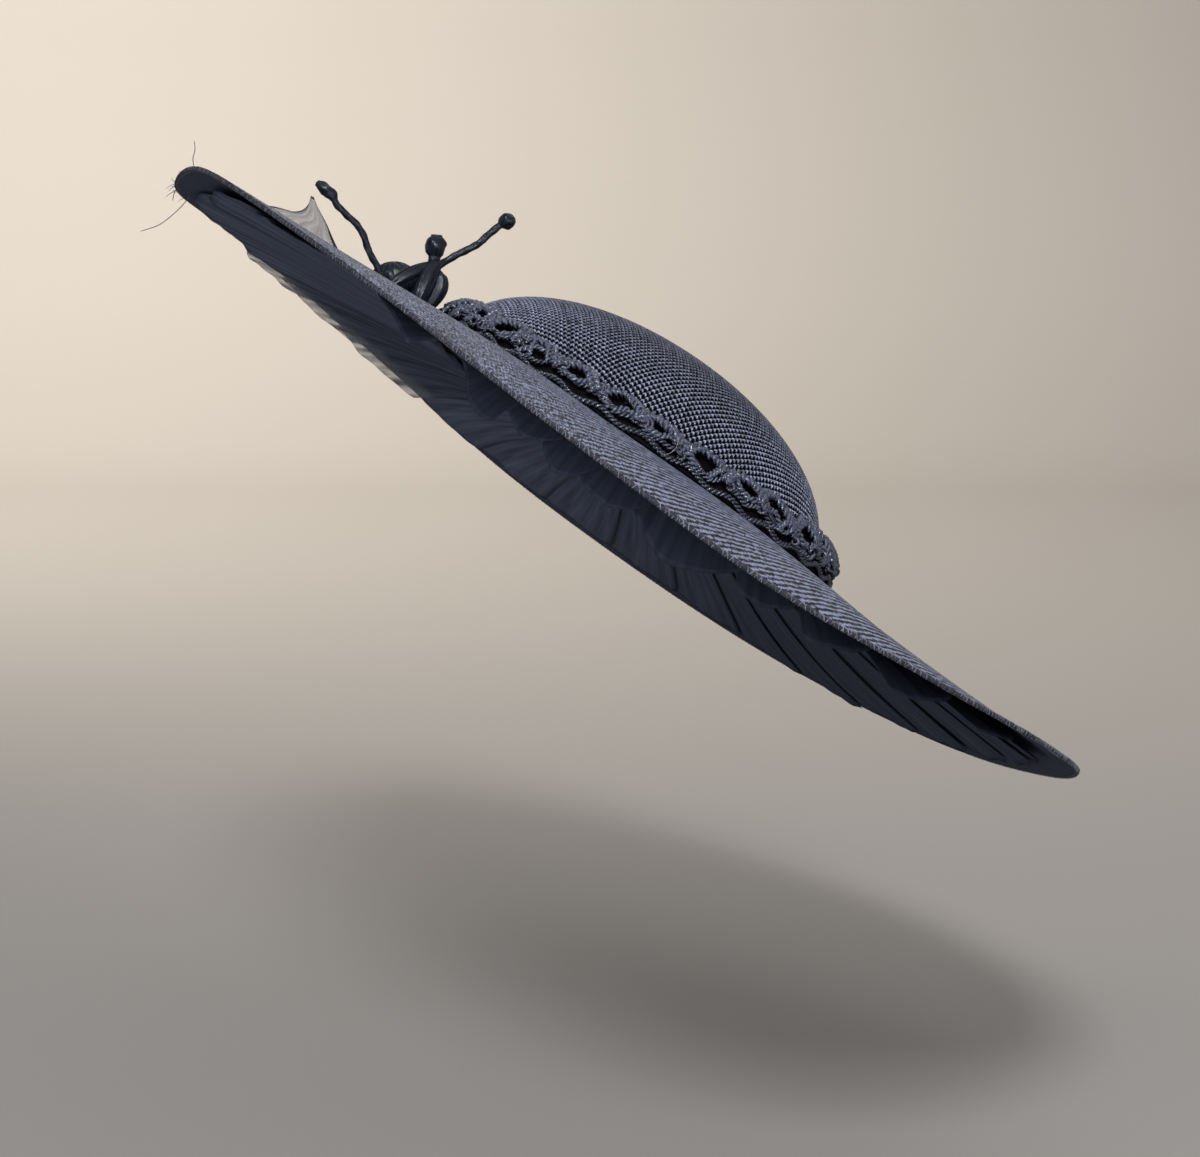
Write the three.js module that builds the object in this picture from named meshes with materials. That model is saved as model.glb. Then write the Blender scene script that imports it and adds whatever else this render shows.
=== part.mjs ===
// A saucer fascinator: a wide woven saucer brim with a shallow domed crown, worn tipped over one eye.
// Millimetres and degrees. The hat is drawn in its own frame, then tipped as a head holds it:
//   origin  the centre of the head opening, in the plane where the crown meets the brim
//   x       along the hat's long line, towards the low tip; y towards the far side; z out of the crown
// Angles go round the opening from +x through +y. "Along" runs from 0 at the opening to 1 at the rim.
import * as THREE from "three";

const RAD = Math.PI / 180;
const { lerp, euclideanModulo, clamp } = THREE.MathUtils;

// ---- driving sizes ----
const TILT = 34.1; // the long line's fall towards the low tip
const ROLL = 10; // how far the near side is raised
const GAP = 0.35; // between pieces that touch on the real hat

// The rim is a circle whose centre lies a little towards the low tip.
const BRIM = { radius: 240, thick: 1.6, shift: 6.5, steps: 90, rings: 5 };
const OPENING = { length: 96, width: 88 }; // half sizes of the brim's oval hole
const WIDTH = BRIM.radius - OPENING.length; // the brim's width at its narrowest
const EDGE_CORD = { radius: 1.2, sides: 6 };

// Half sizes of the dome; a fullness of 2 is an ellipse, and more is squarer.
const CROWN = { length: 98, width: 90, height: 53, thick: 1.6, fullness: 2.08, steps: 60 };
const CROWN_TURNS = [0, 12, 25, 40, 56, 73, 90]; // from the dome's foot to its top

// The looped trim reaches out over the brim and up the crown, more so at the hat's two ends.
const TRIM = {
  loops: 30,
  perLoop: 4,
  reach: 11,
  taper: 2.5,
  height: 12.5,
  endRise: 4.5,
  loopDepth: 1.5,
  lift: 0.15,
};
const TRIM_OUTER = [
  { out: 0.03, up: 0 },
  { out: 1, up: 0 },
  { out: 0.88, up: 0.5 },
  { out: 0.5, up: 0.9 },
];
const TRIM_WALL = [1.04, 0.7, 0.35]; // its way back down the crown's wall, as shares of its height

// Petals: shares of the brim for start, roundEnd and sheerReach; degrees for overlap and column.
const PETAL = {
  thick: 1,
  start: 0.04,
  overlap: 1.7,
  lap: 2.1,
  clearance: 0.4,
  roundEnd: 0.055,
  roundMost: 0.16, // of a short petal's own reach
  roundness: 2.4,
  rootTaper: 0.12,
  sheerReach: 1.02,
  column: 3.6,
  rows: 5,
};

// The brim's height at its rim, below the opening's plane, and where it falls: bend over 0 falls early,
// under 0 late. A row for each 20 degrees from the low tip.
const BRIM_SHAPE = [
  { angle: 0, rim: -12.9, bend: 0.55 },
  { angle: 20, rim: -20, bend: 0.75 },
  { angle: 40, rim: -26, bend: 1 },
  { angle: 60, rim: -29.5, bend: -0.1 },
  { angle: 80, rim: -28.5, bend: -0.5 },
  { angle: 100, rim: -24, bend: -0.65 },
  { angle: 120, rim: -14.5, bend: -0.9 },
  { angle: 140, rim: -8.5, bend: -0.75 },
  { angle: 160, rim: -9, bend: -0.75 },
  { angle: 180, rim: -12.3, bend: -0.6 },
  { angle: 200, rim: -6.7, bend: -0.75 },
  { angle: 220, rim: -11, bend: -0.75 },
  { angle: 240, rim: -17.6, bend: -1 },
  { angle: 260, rim: -25, bend: -0.65 },
  { angle: 280, rim: -28.5, bend: -0.5 },
  { angle: 300, rim: -22, bend: -0.2 },
  { angle: 320, rim: -14.2, bend: 1.2 },
  { angle: 340, rim: -10.2, bend: 0.75 },
];

// The seams between the petals under the brim: the angle of a seam, and how many even petals follow it.
const PETAL_SEAMS = [
  { angle: -55, petals: 15 },
  { angle: 118, petals: 2 },
  { angle: 143, petals: 1 },
  { angle: 152, petals: 6 },
  { angle: 230, petals: 1 },
  { angle: 242, petals: 1 },
  { angle: 252.5, petals: 1 },
  { angle: 261, petals: 1 },
  { angle: 272, petals: 1 },
  { angle: 294, petals: 1 },
  { angle: 305, petals: 0 },
];
const SHEER_FROM = 118; // the petals between these two seams are sheer and pass the rim
const SHEER_TO = 152;

// How far out the petals end, as a share of the brim, and how far their ends hang below it.
// A row for each 15 degrees from the low tip: short and hanging on the near side, flat elsewhere.
const PETAL_RING = [
  { angle: 0, reach: 0.92, drop: 1.5 },
  { angle: 15, reach: 0.92, drop: 1 },
  { angle: 30, reach: 0.92, drop: 0.5 },
  { angle: 45, reach: 0.92, drop: 0.5 },
  { angle: 60, reach: 0.92, drop: 0.5 },
  { angle: 75, reach: 0.92, drop: 0.5 },
  { angle: 90, reach: 0.92, drop: 0.5 },
  { angle: 105, reach: 0.94, drop: 0.5 },
  { angle: 120, reach: 0.98, drop: 1 },
  { angle: 135, reach: 0.98, drop: 1 },
  { angle: 150, reach: 0.96, drop: 1 },
  { angle: 165, reach: 0.93, drop: 0.5 },
  { angle: 180, reach: 0.93, drop: 0.5 },
  { angle: 195, reach: 0.92, drop: 0.5 },
  { angle: 210, reach: 0.85, drop: 1.5 },
  { angle: 225, reach: 0.6, drop: 6 },
  { angle: 240, reach: 0.33, drop: 19 },
  { angle: 255, reach: 0.3, drop: 19 },
  { angle: 270, reach: 0.31, drop: 21.5 },
  { angle: 285, reach: 0.33, drop: 26 },
  { angle: 300, reach: 0.38, drop: 16.5 },
  { angle: 315, reach: 0.55, drop: 8.5 },
  { angle: 330, reach: 0.78, drop: 3.5 },
  { angle: 345, reach: 0.89, drop: 1.5 },
];

// The flower on top, between the crown and the high tip.
const STAMEN = { steps: 22, sides: 8, foot: 0.7 }; // the foot is a share of the stem's radius
const STAMENS = [
  {
    name: "stamen_left",
    stem: 1.55,
    knob: { radius: 2.8, half: 5 },
    route: [
      [-134, -5, -1.3],
      [-139, -6, 6.5],
      [-146.5, -6, 10.8],
      [-152, -6, 15],
      [-157, -6, 17.7],
      [-164.6, -6, 19.1],
      [-170, -6, 20.3],
      [-175.5, -6, 23],
      [-183.5, -6, 23.6],
    ],
  },
  {
    name: "stamen_bud",
    stem: 3,
    knob: { radius: 5.1, half: 5.6 },
    route: [
      [-119, -12, -0.5],
      [-118.5, -12, 8],
      [-118.5, -12, 16],
      [-120.5, -12, 23],
      [-126, -12, 33.8],
    ],
  },
  {
    name: "stamen_right",
    stem: 1.65,
    knob: { radius: 3.7, half: 4 },
    route: [
      [-120, 4, -0.5],
      [-120.5, 4, 12],
      [-118.5, 4, 23],
      [-114.5, 4, 32.5],
      [-109.3, 4, 42],
      [-107, 4, 50],
      [-104.6, 4, 57],
      [-101.5, 4, 62],
    ],
  },
];
const BUTTON = { length: 9, width: 6, height: 6.8, at: [-131.5, 8, 6.2], turn: 34 };
const LEAVES = [
  { name: "leaf_left", root: [-124, -18, -0.7], tip: [-121, -19, 20.5], bow: -2.5, width: 4.2, turn: 10 },
  { name: "leaf_right", root: [-113.5, -18, 0], tip: [-112, -17, 21], bow: 2.5, width: 3.4, turn: -20 },
];
// A leaf's half width follows a sine from its root to its tip, raised to a power below 1, and it is cupped.
const LEAF = { thick: 1.4, cup: 1.2, rows: 6, from: 0.1, to: 0.96, power: 0.7 };

// The upright sheer petal leans and is hollowed towards the far side.
const SPIKE = { angle: 174, lean: 4, thick: 1.1, hollow: 1.5, columns: 4 };

// Its two side edges, as shares of the brim, at heights above it.
const SPIKE_EDGES = [
  { height: 0.45, outer: 0.84, inner: 0.37 },
  { height: 8, outer: 0.82, inner: 0.455 },
  { height: 13.7, outer: 0.739, inner: 0.515 },
  { height: 15.8, outer: 0.675, inner: 0.535 },
  { height: 18.8, outer: 0.65, inner: 0.565 },
  { height: 22.7, outer: 0.646, inner: 0.61 },
  { height: 26.4, outer: 0.655, inner: 0.645 },
];

// ---- numbers along and around ----

// A column's value at an angle, by a smooth curve through evenly spaced rows that go all the way round.
function around(rows, column, angle) {
  const place = (euclideanModulo(angle, 360) / 360) * rows.length;
  const k = Math.floor(place);
  const t = place - k;
  const [a, b, c, d] = [-1, 0, 1, 2].map((i) => rows[(k + i + rows.length) % rows.length][column]);
  return 0.5 * (2 * b + (c - a) * t + (2 * a - 5 * b + 4 * c - d) * t * t + (3 * b - a - 3 * c + d) * t ** 3);
}

const steps = (count) => Array.from({ length: count + 1 }, (_, i) => i / count);
const turns = (count) => Array.from({ length: count }, (_, i) => (i / count) * 360);

// The level direction out from the opening's centre.
const outwards = (angle) => new THREE.Vector3(Math.cos(angle * RAD), Math.sin(angle * RAD), 0);

// ---- closed meshes from sections ----

// A closed solid through sections, each a closed loop of as many points. A ring joins its last section to
// its first; otherwise both end loops are closed by a strip between their first and second halves.
function loft(sections, ring = false) {
  const points = [];
  const seen = new Map();
  const triangles = [];
  const id = (p) => {
    const key = [p.x, p.y, p.z].map((v) => Math.round(v * 1e3)).join();
    if (!seen.has(key)) {
      seen.set(key, points.length);
      points.push(p);
    }
    return seen.get(key);
  };
  const loops = sections.map((section) => section.map(id));
  const size = loops[0].length;
  const face = (a, b, c) => {
    if (a !== b && b !== c && c !== a) triangles.push([a, b, c]);
  };
  const quad = (a, b, c, d) => {
    face(a, b, c);
    face(a, c, d);
  };
  const last = ring ? loops.length : loops.length - 1;
  for (let i = 0; i < last; i++) {
    const [here, next] = [loops[i], loops[(i + 1) % loops.length]];
    for (let j = 0; j < size; j++) {
      const k = (j + 1) % size;
      quad(here[j], next[j], next[k], here[k]);
    }
  }
  if (!ring) {
    const [first, end] = [loops[0], loops[loops.length - 1]];
    for (let j = 0; j < size / 2 - 1; j++) {
      const k = size - 1 - j;
      quad(first[j], first[j + 1], first[k - 1], first[k]);
      quad(end[k], end[k - 1], end[j + 1], end[j]);
    }
  }
  return outward(points, triangles);
}

// The geometry of a closed mesh, with its faces turned outwards.
function outward(points, triangles) {
  let volume = 0;
  const side = new THREE.Vector3();
  for (const [a, b, c] of triangles) volume += points[a].dot(side.crossVectors(points[b], points[c]));
  const order = volume > 0 ? triangles : triangles.map(([a, b, c]) => [a, c, b]);
  const geometry = new THREE.BufferGeometry();
  geometry.setFromPoints(points);
  geometry.setIndex(order.flat());
  geometry.computeVertexNormals();
  return geometry;
}

// A section's loop from its top row and its bottom row, both in the same order.
const sheetSection = (top, bottom) => [...top, ...bottom.toReversed()];

// A round cord along a smooth curve, whose radius is a function of the share of its length.
function roundCord(curve, radius, count, sides) {
  const frames = curve.computeFrenetFrames(count, false);
  const sections = steps(count).map((share, i) => {
    const centre = curve.getPointAt(share);
    return turns(sides).map((turn) =>
      centre
        .clone()
        .addScaledVector(frames.normals[i], radius(share) * Math.cos(turn * RAD))
        .addScaledVector(frames.binormals[i], radius(share) * Math.sin(turn * RAD)),
    );
  });
  return loft(sections);
}

// ---- the brim's surface ----

// A point on the brim's upper face, or as far above it as lift says.
function onBrim(angle, along, lift = 0) {
  const [cos, sin] = [Math.cos(angle * RAD), Math.sin(angle * RAD)];
  const fall = along + around(BRIM_SHAPE, "bend", angle) * along * (1 - along);
  return new THREE.Vector3(
    lerp(OPENING.length * cos, BRIM.shift + BRIM.radius * cos, along),
    lerp(OPENING.width * sin, BRIM.radius * sin, along),
    around(BRIM_SHAPE, "rim", angle) * fall + lift,
  );
}

function brim() {
  const edge = 1 - (2 * EDGE_CORD.radius + GAP) / WIDTH; // the cloth stops at the cord
  const sections = turns(BRIM.steps).map((angle) => {
    const row = (lift) => steps(BRIM.rings).map((share) => onBrim(angle, share * edge, lift));
    return sheetSection(row(0), row(-BRIM.thick));
  });
  return loft(sections, true);
}

// The wired cord that finishes the rim.
function edgeCord() {
  const inset = EDGE_CORD.radius / WIDTH;
  const sections = turns(BRIM.steps).map((angle) => {
    const centre = onBrim(angle, 1 - inset, -BRIM.thick / 2);
    return turns(EDGE_CORD.sides).map((turn) => {
      const point = centre.clone().addScaledVector(outwards(angle), EDGE_CORD.radius * Math.cos(turn * RAD));
      point.z += EDGE_CORD.radius * Math.sin(turn * RAD);
      return point;
    });
  });
  return loft(sections, true);
}

// ---- the crown ----

// The dome's point at an angle and at a turn from 0 at its foot to 90 at its top.
function onCrown(angle, turn, inset = 0) {
  const power = 2 / CROWN.fullness;
  const out = Math.cos(turn * RAD) ** power;
  const up = Math.sin(turn * RAD) ** power;
  return new THREE.Vector3(
    (CROWN.length - inset) * out * Math.cos(angle * RAD),
    (CROWN.width - inset) * out * Math.sin(angle * RAD),
    GAP + (CROWN.height - inset) * up,
  );
}

// The turn at which the dome has risen by some height.
const turnAt = (height) => Math.asin((height / CROWN.height) ** (CROWN.fullness / 2)) / RAD;

function crown() {
  const sections = turns(CROWN.steps).map((angle) => {
    const row = (inset) => CROWN_TURNS.map((turn) => onCrown(angle, turn, inset));
    return sheetSection(row(0), row(CROWN.thick));
  });
  return loft(sections, true);
}

// ---- the looped trim round the crown's foot ----

function trim() {
  const sections = turns(TRIM.loops * TRIM.perLoop).map((angle, i) => {
    const cos = Math.cos(angle * RAD);
    const bulge = TRIM.loopDepth * Math.sin((i / TRIM.perLoop) * Math.PI) ** 2;
    const reach = TRIM.reach + TRIM.taper * cos + bulge;
    const height = TRIM.height + TRIM.endRise * cos * cos + bulge;
    const wall = (share) => onCrown(angle, turnAt(share * height), -GAP);
    const outer = ({ out, up }) => {
      const floor = onBrim(angle, (out * reach) / WIDTH, GAP + TRIM.lift).z;
      return wall(0).addScaledVector(outwards(angle), out * reach).setZ(floor + up * height);
    };
    return [...TRIM_OUTER.map(outer), ...TRIM_WALL.map(wall)];
  });
  return loft(sections, true);
}

// ---- the petals under the brim ----

// A point of the petals' shared hanging surface, below the brim's lower face.
function underBrim(angle, along, below) {
  const share = along / around(PETAL_RING, "reach", angle);
  const hang = around(PETAL_RING, "drop", angle) * share * share;
  return onBrim(angle, along, -BRIM.thick - PETAL.clearance - hang - below);
}

// One petal between two seams. It passes both seams a little, and lies lower on its first side, so that
// each petal's first side laps under the last side of the petal before it.
function petal(from, to, sheer) {
  const middle = (from + to) / 2;
  const half = (to - from) / 2 + PETAL.overlap;
  const reach = sheer ? PETAL.sheerReach : around(PETAL_RING, "reach", middle);
  const roundEnd = Math.min(PETAL.roundEnd, reach * PETAL.roundMost);
  const across = steps(Math.max(4, Math.ceil((2 * half) / PETAL.column)));
  const sections = steps(PETAL.rows).map((share) => {
    const row = (extra) =>
      across.map((s) => {
        const side = 2 * s - 1;
        const end = reach - roundEnd * Math.abs(side) ** PETAL.roundness;
        const width = half * (1 - PETAL.rootTaper * (1 - share) ** 2);
        const below = (PETAL.lap * (1 - side)) / 2 + extra;
        return underBrim(middle + side * width, lerp(PETAL.start, end, share), below);
      });
    return sheetSection(row(0), row(PETAL.thick));
  });
  return loft(sections);
}

function* petals() {
  for (const [i, { angle, petals: count }] of PETAL_SEAMS.slice(0, -1).entries()) {
    const pitch = (PETAL_SEAMS[i + 1].angle - angle) / count;
    for (let k = 0; k < count; k++) {
      const from = angle + k * pitch;
      const sheer = from >= SHEER_FROM && from < SHEER_TO;
      yield { geometry: petal(from, from + pitch, sheer), sheer };
    }
  }
}

// ---- the flower on top ----

function stamen({ stem, knob, route }) {
  const curve = new THREE.CatmullRomCurve3(route.map((p) => new THREE.Vector3(...p)), false, "centripetal");
  const length = curve.getLength();
  const radius = (share) => {
    const place = clamp((share * length - (length - knob.half)) / knob.half, -1, 1);
    const neck = share === 0 ? stem * STAMEN.foot : stem * Math.sign(1 - share);
    return Math.max(neck, knob.radius * Math.sqrt(1 - place * place));
  };
  return roundCord(curve, radius, STAMEN.steps, STAMEN.sides);
}

function button() {
  const geometry = new THREE.SphereGeometry(1, 16, 10);
  geometry.scale(BUTTON.length, BUTTON.width, BUTTON.height);
  geometry.rotateY(-BUTTON.turn * RAD);
  geometry.translate(...BUTTON.at);
  return geometry;
}

// A satin leaf that stands on the brim beside the bud.
function leaf({ root, tip, bow, width, turn }) {
  const [low, high] = [new THREE.Vector3(...root), new THREE.Vector3(...tip)];
  const [out, face] = [outwards(turn), outwards(turn + 90)];
  const sections = steps(LEAF.rows).map((share) => {
    const centre = low.clone().lerp(high, share).addScaledVector(out, bow * Math.sin(share * Math.PI));
    const half = width * Math.sin(lerp(LEAF.from, LEAF.to, share) * Math.PI) ** LEAF.power;
    const row = (offset) =>
      steps(2).map((s) => {
        const side = 2 * s - 1;
        const cup = offset - LEAF.cup * side * side;
        return centre.clone().addScaledVector(out, side * half).addScaledVector(face, cup);
      });
    return sheetSection(row(LEAF.thick / 2), row(-LEAF.thick / 2));
  });
  return loft(sections);
}

function spike() {
  const top = SPIKE_EDGES.at(-1).height;
  const sections = SPIKE_EDGES.map(({ height, outer, inner }) => {
    const row = (offset) =>
      steps(SPIKE.columns).map((s) => {
        const point = onBrim(SPIKE.angle, lerp(outer, inner, s), height);
        point.y += offset + SPIKE.hollow * Math.sin(s * Math.PI) + (SPIKE.lean * height) / top;
        return point;
      });
    return sheetSection(row(0), row(SPIKE.thick));
  });
  return loft(sections);
}

// ---- the hat ----

const cloth = (color, roughness) => new THREE.MeshStandardMaterial({ color, roughness, metalness: 0 });
const FINISH = {
  crownWeave: cloth(0x2c3140, 0.55),
  brimWeave: cloth(0x4a4e5c, 0.6),
  edge: cloth(0x2a2e38, 0.6),
  satinCord: cloth(0x14161d, 0.35),
  petal: cloth(0x343b48, 0.7),
  sheer: new THREE.MeshStandardMaterial({ color: 0xaeb2ba, roughness: 0.6, transparent: true, opacity: 0.5 }),
};

const hat = new THREE.Group();
hat.rotation.set(-ROLL * RAD, TILT * RAD, 0, "YXZ");

function add(name, geometry, material) {
  const mesh = new THREE.Mesh(geometry, material);
  mesh.name = name;
  hat.add(mesh);
}

add("crown", crown(), FINISH.crownWeave);
add("brim", brim(), FINISH.brimWeave);
add("edge_cord", edgeCord(), FINISH.edge);
add("loop_trim", trim(), FINISH.satinCord);
for (const item of STAMENS) add(item.name, stamen(item), FINISH.satinCord);
add("button", button(), FINISH.satinCord);
for (const item of LEAVES) add(item.name, leaf(item), FINISH.satinCord);
add("sheer_spike", spike(), FINISH.sheer);
let number = 0;
for (const { geometry, sheer } of petals()) {
  number += 1;
  const label = String(number).padStart(2, "0");
  add((sheer ? "sheer_petal_" : "petal_") + label, geometry, sheer ? FINISH.sheer : FINISH.petal);
}

const part = new THREE.Group();
part.add(hat);
export default part;
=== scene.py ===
"""A saucer fascinator: a wide tipped brim of woven straw, a shallow domed crown with a looped trim,
a flower of satin cord and soft petals under the brim.

Shapes are worked out in millimetres in the hat's own frame, whose origin is the centre of the head
opening: x runs along the hat's long line to the low tip, y to the far side and z out of the crown.
Angles go round the opening from +x through +y, in degrees. "Along" runs over the brim, from 0 at the
opening to 1 at the rim. HAT turns the hat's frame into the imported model's.
"""
import math

import bmesh
import bpy
import mathutils
import numpy as np
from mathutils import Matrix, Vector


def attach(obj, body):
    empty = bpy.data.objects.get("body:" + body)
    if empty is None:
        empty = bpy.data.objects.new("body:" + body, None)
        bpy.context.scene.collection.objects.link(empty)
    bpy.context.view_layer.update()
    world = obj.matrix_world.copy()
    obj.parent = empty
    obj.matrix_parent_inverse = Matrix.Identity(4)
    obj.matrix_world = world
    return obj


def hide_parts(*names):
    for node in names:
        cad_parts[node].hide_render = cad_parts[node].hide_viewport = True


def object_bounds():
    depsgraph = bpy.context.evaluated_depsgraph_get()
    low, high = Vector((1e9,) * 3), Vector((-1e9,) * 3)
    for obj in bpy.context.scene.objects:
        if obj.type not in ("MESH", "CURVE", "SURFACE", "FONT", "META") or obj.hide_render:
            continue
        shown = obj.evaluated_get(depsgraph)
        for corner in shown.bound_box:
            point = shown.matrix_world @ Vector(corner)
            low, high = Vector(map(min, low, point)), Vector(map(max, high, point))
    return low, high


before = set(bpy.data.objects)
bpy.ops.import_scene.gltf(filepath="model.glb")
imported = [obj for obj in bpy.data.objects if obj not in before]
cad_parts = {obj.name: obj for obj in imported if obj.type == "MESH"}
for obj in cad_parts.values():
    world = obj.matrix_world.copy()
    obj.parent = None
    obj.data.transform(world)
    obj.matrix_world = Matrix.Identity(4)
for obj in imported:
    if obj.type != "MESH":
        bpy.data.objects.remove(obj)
cad_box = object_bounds()

MM = 0.001
TAU = 2 * math.pi
TILT = 34.1  # the long line's fall to the low tip
ROLL = 10  # how far the near side is raised
RIM = 240  # the rim is a circle, with its centre moved this far to the low tip:
SHIFT = 6.5
OPENING = np.array([96, 88])  # half sizes of the oval head opening
STRAW = 1.6  # thickness of brim and crown
CROWN_FULLNESS = 2.08  # 2 is an ellipse, more is squarer
LOOPS = 30  # round the trim
BRAID_WAVE = 8.4  # the length in which a strand of the trim's braids comes back to its side
TWIST_WAVE = 4.4  # and of its twisted cords
PITCH = 1.7  # between the straw's strands, in the crown and the brim
GRAIN = 8  # the turn of the straw's weave from the hat's long line
RIB_TURN = 61  # and of the brim's slanting ribs
RIB_PITCH = 3.4  # between two of those ribs
WIDTH = RIM - OPENING[0]  # the brim's, at its narrowest

HAT = np.array(mathutils.Euler((-math.radians(ROLL), math.radians(TILT), 0), "XYZ").to_matrix())
chance = np.random.default_rng(7)


# ---- arrays ----


def unit(v):
    """Vectors divided by their lengths."""
    return v / np.maximum(np.linalg.norm(v, axis=-1, keepdims=True), 1e-9)


def mix(a, b, share):
    return a + (b - a) * share


def smooth(low, high, x):
    """0 below low, 1 above high, and 3t^2 - 2t^3 between."""
    t = np.clip((x - low) / (high - low), 0, 1)
    return t * t * (3 - 2 * t)


def ring(values, angle):
    """A periodic Catmull-Rom curve through values evenly spaced round a circle, read at an angle."""
    place = np.mod(angle, 360) / 360 * len(values)
    k = np.floor(place).astype(int)
    t = place - k
    a, b, c, d = (np.take(values, k + i, mode="wrap") for i in (-1, 0, 1, 2))
    return (2 * b + (c - a) * t + (2 * a - 5 * b + 4 * c - d) * t**2 + (3 * b - a - 3 * c + d) * t**3) / 2


def curve(points, count):
    """A smooth open curve through given points, read at evenly spaced shares of its length."""
    points = np.asarray(points, float)
    ends = np.vstack([2 * points[0] - points[1], points, 2 * points[-1] - points[-2]])
    t = np.linspace(0, len(points) - 1, 40 * len(points))
    k = np.minimum(t.astype(int), len(points) - 2)
    s = (t - k)[:, None]
    a, b, c, d = (ends[k + i] for i in range(4))
    fine = (2 * b + (c - a) * s + (2 * a - 5 * b + 4 * c - d) * s**2 + (3 * b - a - 3 * c + d) * s**3) / 2
    run = np.append(0, np.cumsum(np.linalg.norm(np.diff(fine, axis=0), axis=1)))
    even = np.linspace(0, run[-1], count)
    return np.stack([np.interp(even, run, fine[:, i]) for i in range(3)], -1)


def tubes(path, radius, up, sides, closed=False):
    """Cords along paths of shape (..., m, 3): each ring point is p + r (cos a N + sin a B), where N and B
    stand across the path and N leans towards up. The radius is one number, or one for each ring or point."""
    if closed:
        along = np.roll(path, -1, -2) - np.roll(path, 1, -2)
    else:
        along = np.gradient(path, axis=-2)
    across = unit(np.cross(up, unit(along)))
    stand = np.cross(unit(along), across)
    a = np.arange(sides) * TAU / sides
    radius = np.asarray(radius, float)
    while radius.ndim < path.ndim:
        radius = radius[..., None]
    around = np.cos(a)[:, None] * stand[..., None, :] + np.sin(a)[:, None] * across[..., None, :]
    return path[..., None, :] + radius[..., None] * around


def run_of(path):
    """The length run along each path of shape (..., m, 3), at each of its points."""
    return np.cumsum(np.linalg.norm(np.diff(path, axis=-2, prepend=path[..., :1, :]), axis=-1), axis=-1)


def cords(paths, radius, up, sides, closed=False, run=None, gap=31.7):
    """Round cords with their own flat coordinates: the length run, or another given run, with each cord's
    start a gap after the last one's, and the way round. Open cords taper to a point at both ends."""
    m = paths.shape[-2]
    radius = np.broadcast_to(radius, paths.shape[:-1]).copy()
    if not closed:
        radius[..., [0, -1]] = 0
        radius[..., [1, -2]] *= 0.75
    grids = tubes(paths, radius, up, sides, closed).reshape(-1, m, sides, 3)
    run = (run_of(paths) if run is None else run).reshape(-1, m)
    if closed:
        run = np.column_stack([run, 2 * run[:, -1] - run[:, -2]])
    run = run + gap * np.arange(len(run))[:, None]
    across = np.arange(sides + 1) * TAU * radius.max() / sides
    return grids, np.stack(np.broadcast_arrays(run[..., None], across), -1)


def plait(line, normal, strands, wide, high, wave, beats):
    """Strands about lines of shape (..., m, 3), and each one's run. After a run of s, strand i stands aside
    by wide sin w and up by high sin(beats w + (2 - beats) 90 degrees), with w = 2 pi (s / wave + i /
    strands): one beat makes a twist, and two make a braid. Its run is w counted in millimetres of wave."""
    side = unit(np.cross(normal, np.gradient(line, axis=-2)))
    run = run_of(line)[..., None, :] + (wave * np.arange(strands) / strands)[:, None]
    w = TAU * run / wave
    aside, rise = wide * np.sin(w), high * np.sin(beats * w + (2 - beats) * math.pi / 2)
    line, side, normal = (v[..., None, :, :] for v in (line, side, normal))
    return line + aside[..., None] * side + rise[..., None] * normal, run


# ---- meshes ----


def faces_of(m, n, wrap=(False, False)):
    """The four-sided faces of a grid of m rows and n columns. wrap joins its last row or column to its
    first."""
    rows, columns = m if wrap[0] else m - 1, n if wrap[1] else n - 1
    i, j = np.meshgrid(np.arange(rows), np.arange(columns), indexing="ij")

    def corner(a, b):
        return (a % m) * n + b % n

    corners = corner(i, j), corner(i + 1, j), corner(i + 1, j + 1), corner(i, j + 1)
    return np.stack(corners, -1).reshape(-1, 4)


def piece(name, grids, finish, wrap=(False, False), uvs=None, replaces=(), weld=False, second=None):
    """One object from grids of points in the hat's frame, each of shape (m, n, 3). uvs gives each grid
    two numbers for each corner, in millimetres, with one row or column more where the grid wraps. second
    is another finish, and which faces wear it."""
    quads, marks = [], []
    start = flat_start = 0
    for grid in grids:
        m, n = grid.shape[:2]
        quads.append(start + faces_of(m, n, wrap))
        marks.append(flat_start + faces_of(m + wrap[0], n + wrap[1]))
        start += m * n
        flat_start += (m + wrap[0]) * (n + wrap[1])
    quads, marks = np.concatenate(quads).astype(np.int32), np.concatenate(marks)
    points = np.concatenate([grid.reshape(-1, 3) for grid in grids])
    mesh = bpy.data.meshes.new(name)
    mesh.vertices.add(len(points))
    mesh.vertices.foreach_set("co", (points @ HAT.T * MM).ravel())
    mesh.loops.add(quads.size)
    mesh.loops.foreach_set("vertex_index", quads.ravel())
    mesh.polygons.add(len(quads))
    mesh.polygons.foreach_set("loop_start", np.arange(0, quads.size, 4, dtype=np.int32))
    mesh.polygons.foreach_set("use_smooth", np.ones(len(quads), dtype=bool))
    if uvs is not None:
        flat = np.concatenate([uv.reshape(-1, 2) for uv in uvs])[marks.ravel()]
        mesh.uv_layers.new(name="UVMap").data.foreach_set("uv", flat.ravel().astype(np.float32))
    mesh.materials.append(finish)
    if second is not None:
        mesh.materials.append(second[0])
        mesh.polygons.foreach_set("material_index", np.asarray(second[1], dtype=np.int32).ravel())
    mesh.update(calc_edges=True)
    if weld:
        welded(mesh)
    made = bpy.data.objects.new(name, mesh)
    bpy.context.collection.objects.link(made)
    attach(made, "root")
    if replaces:
        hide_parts(*replaces)
    return made


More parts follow.
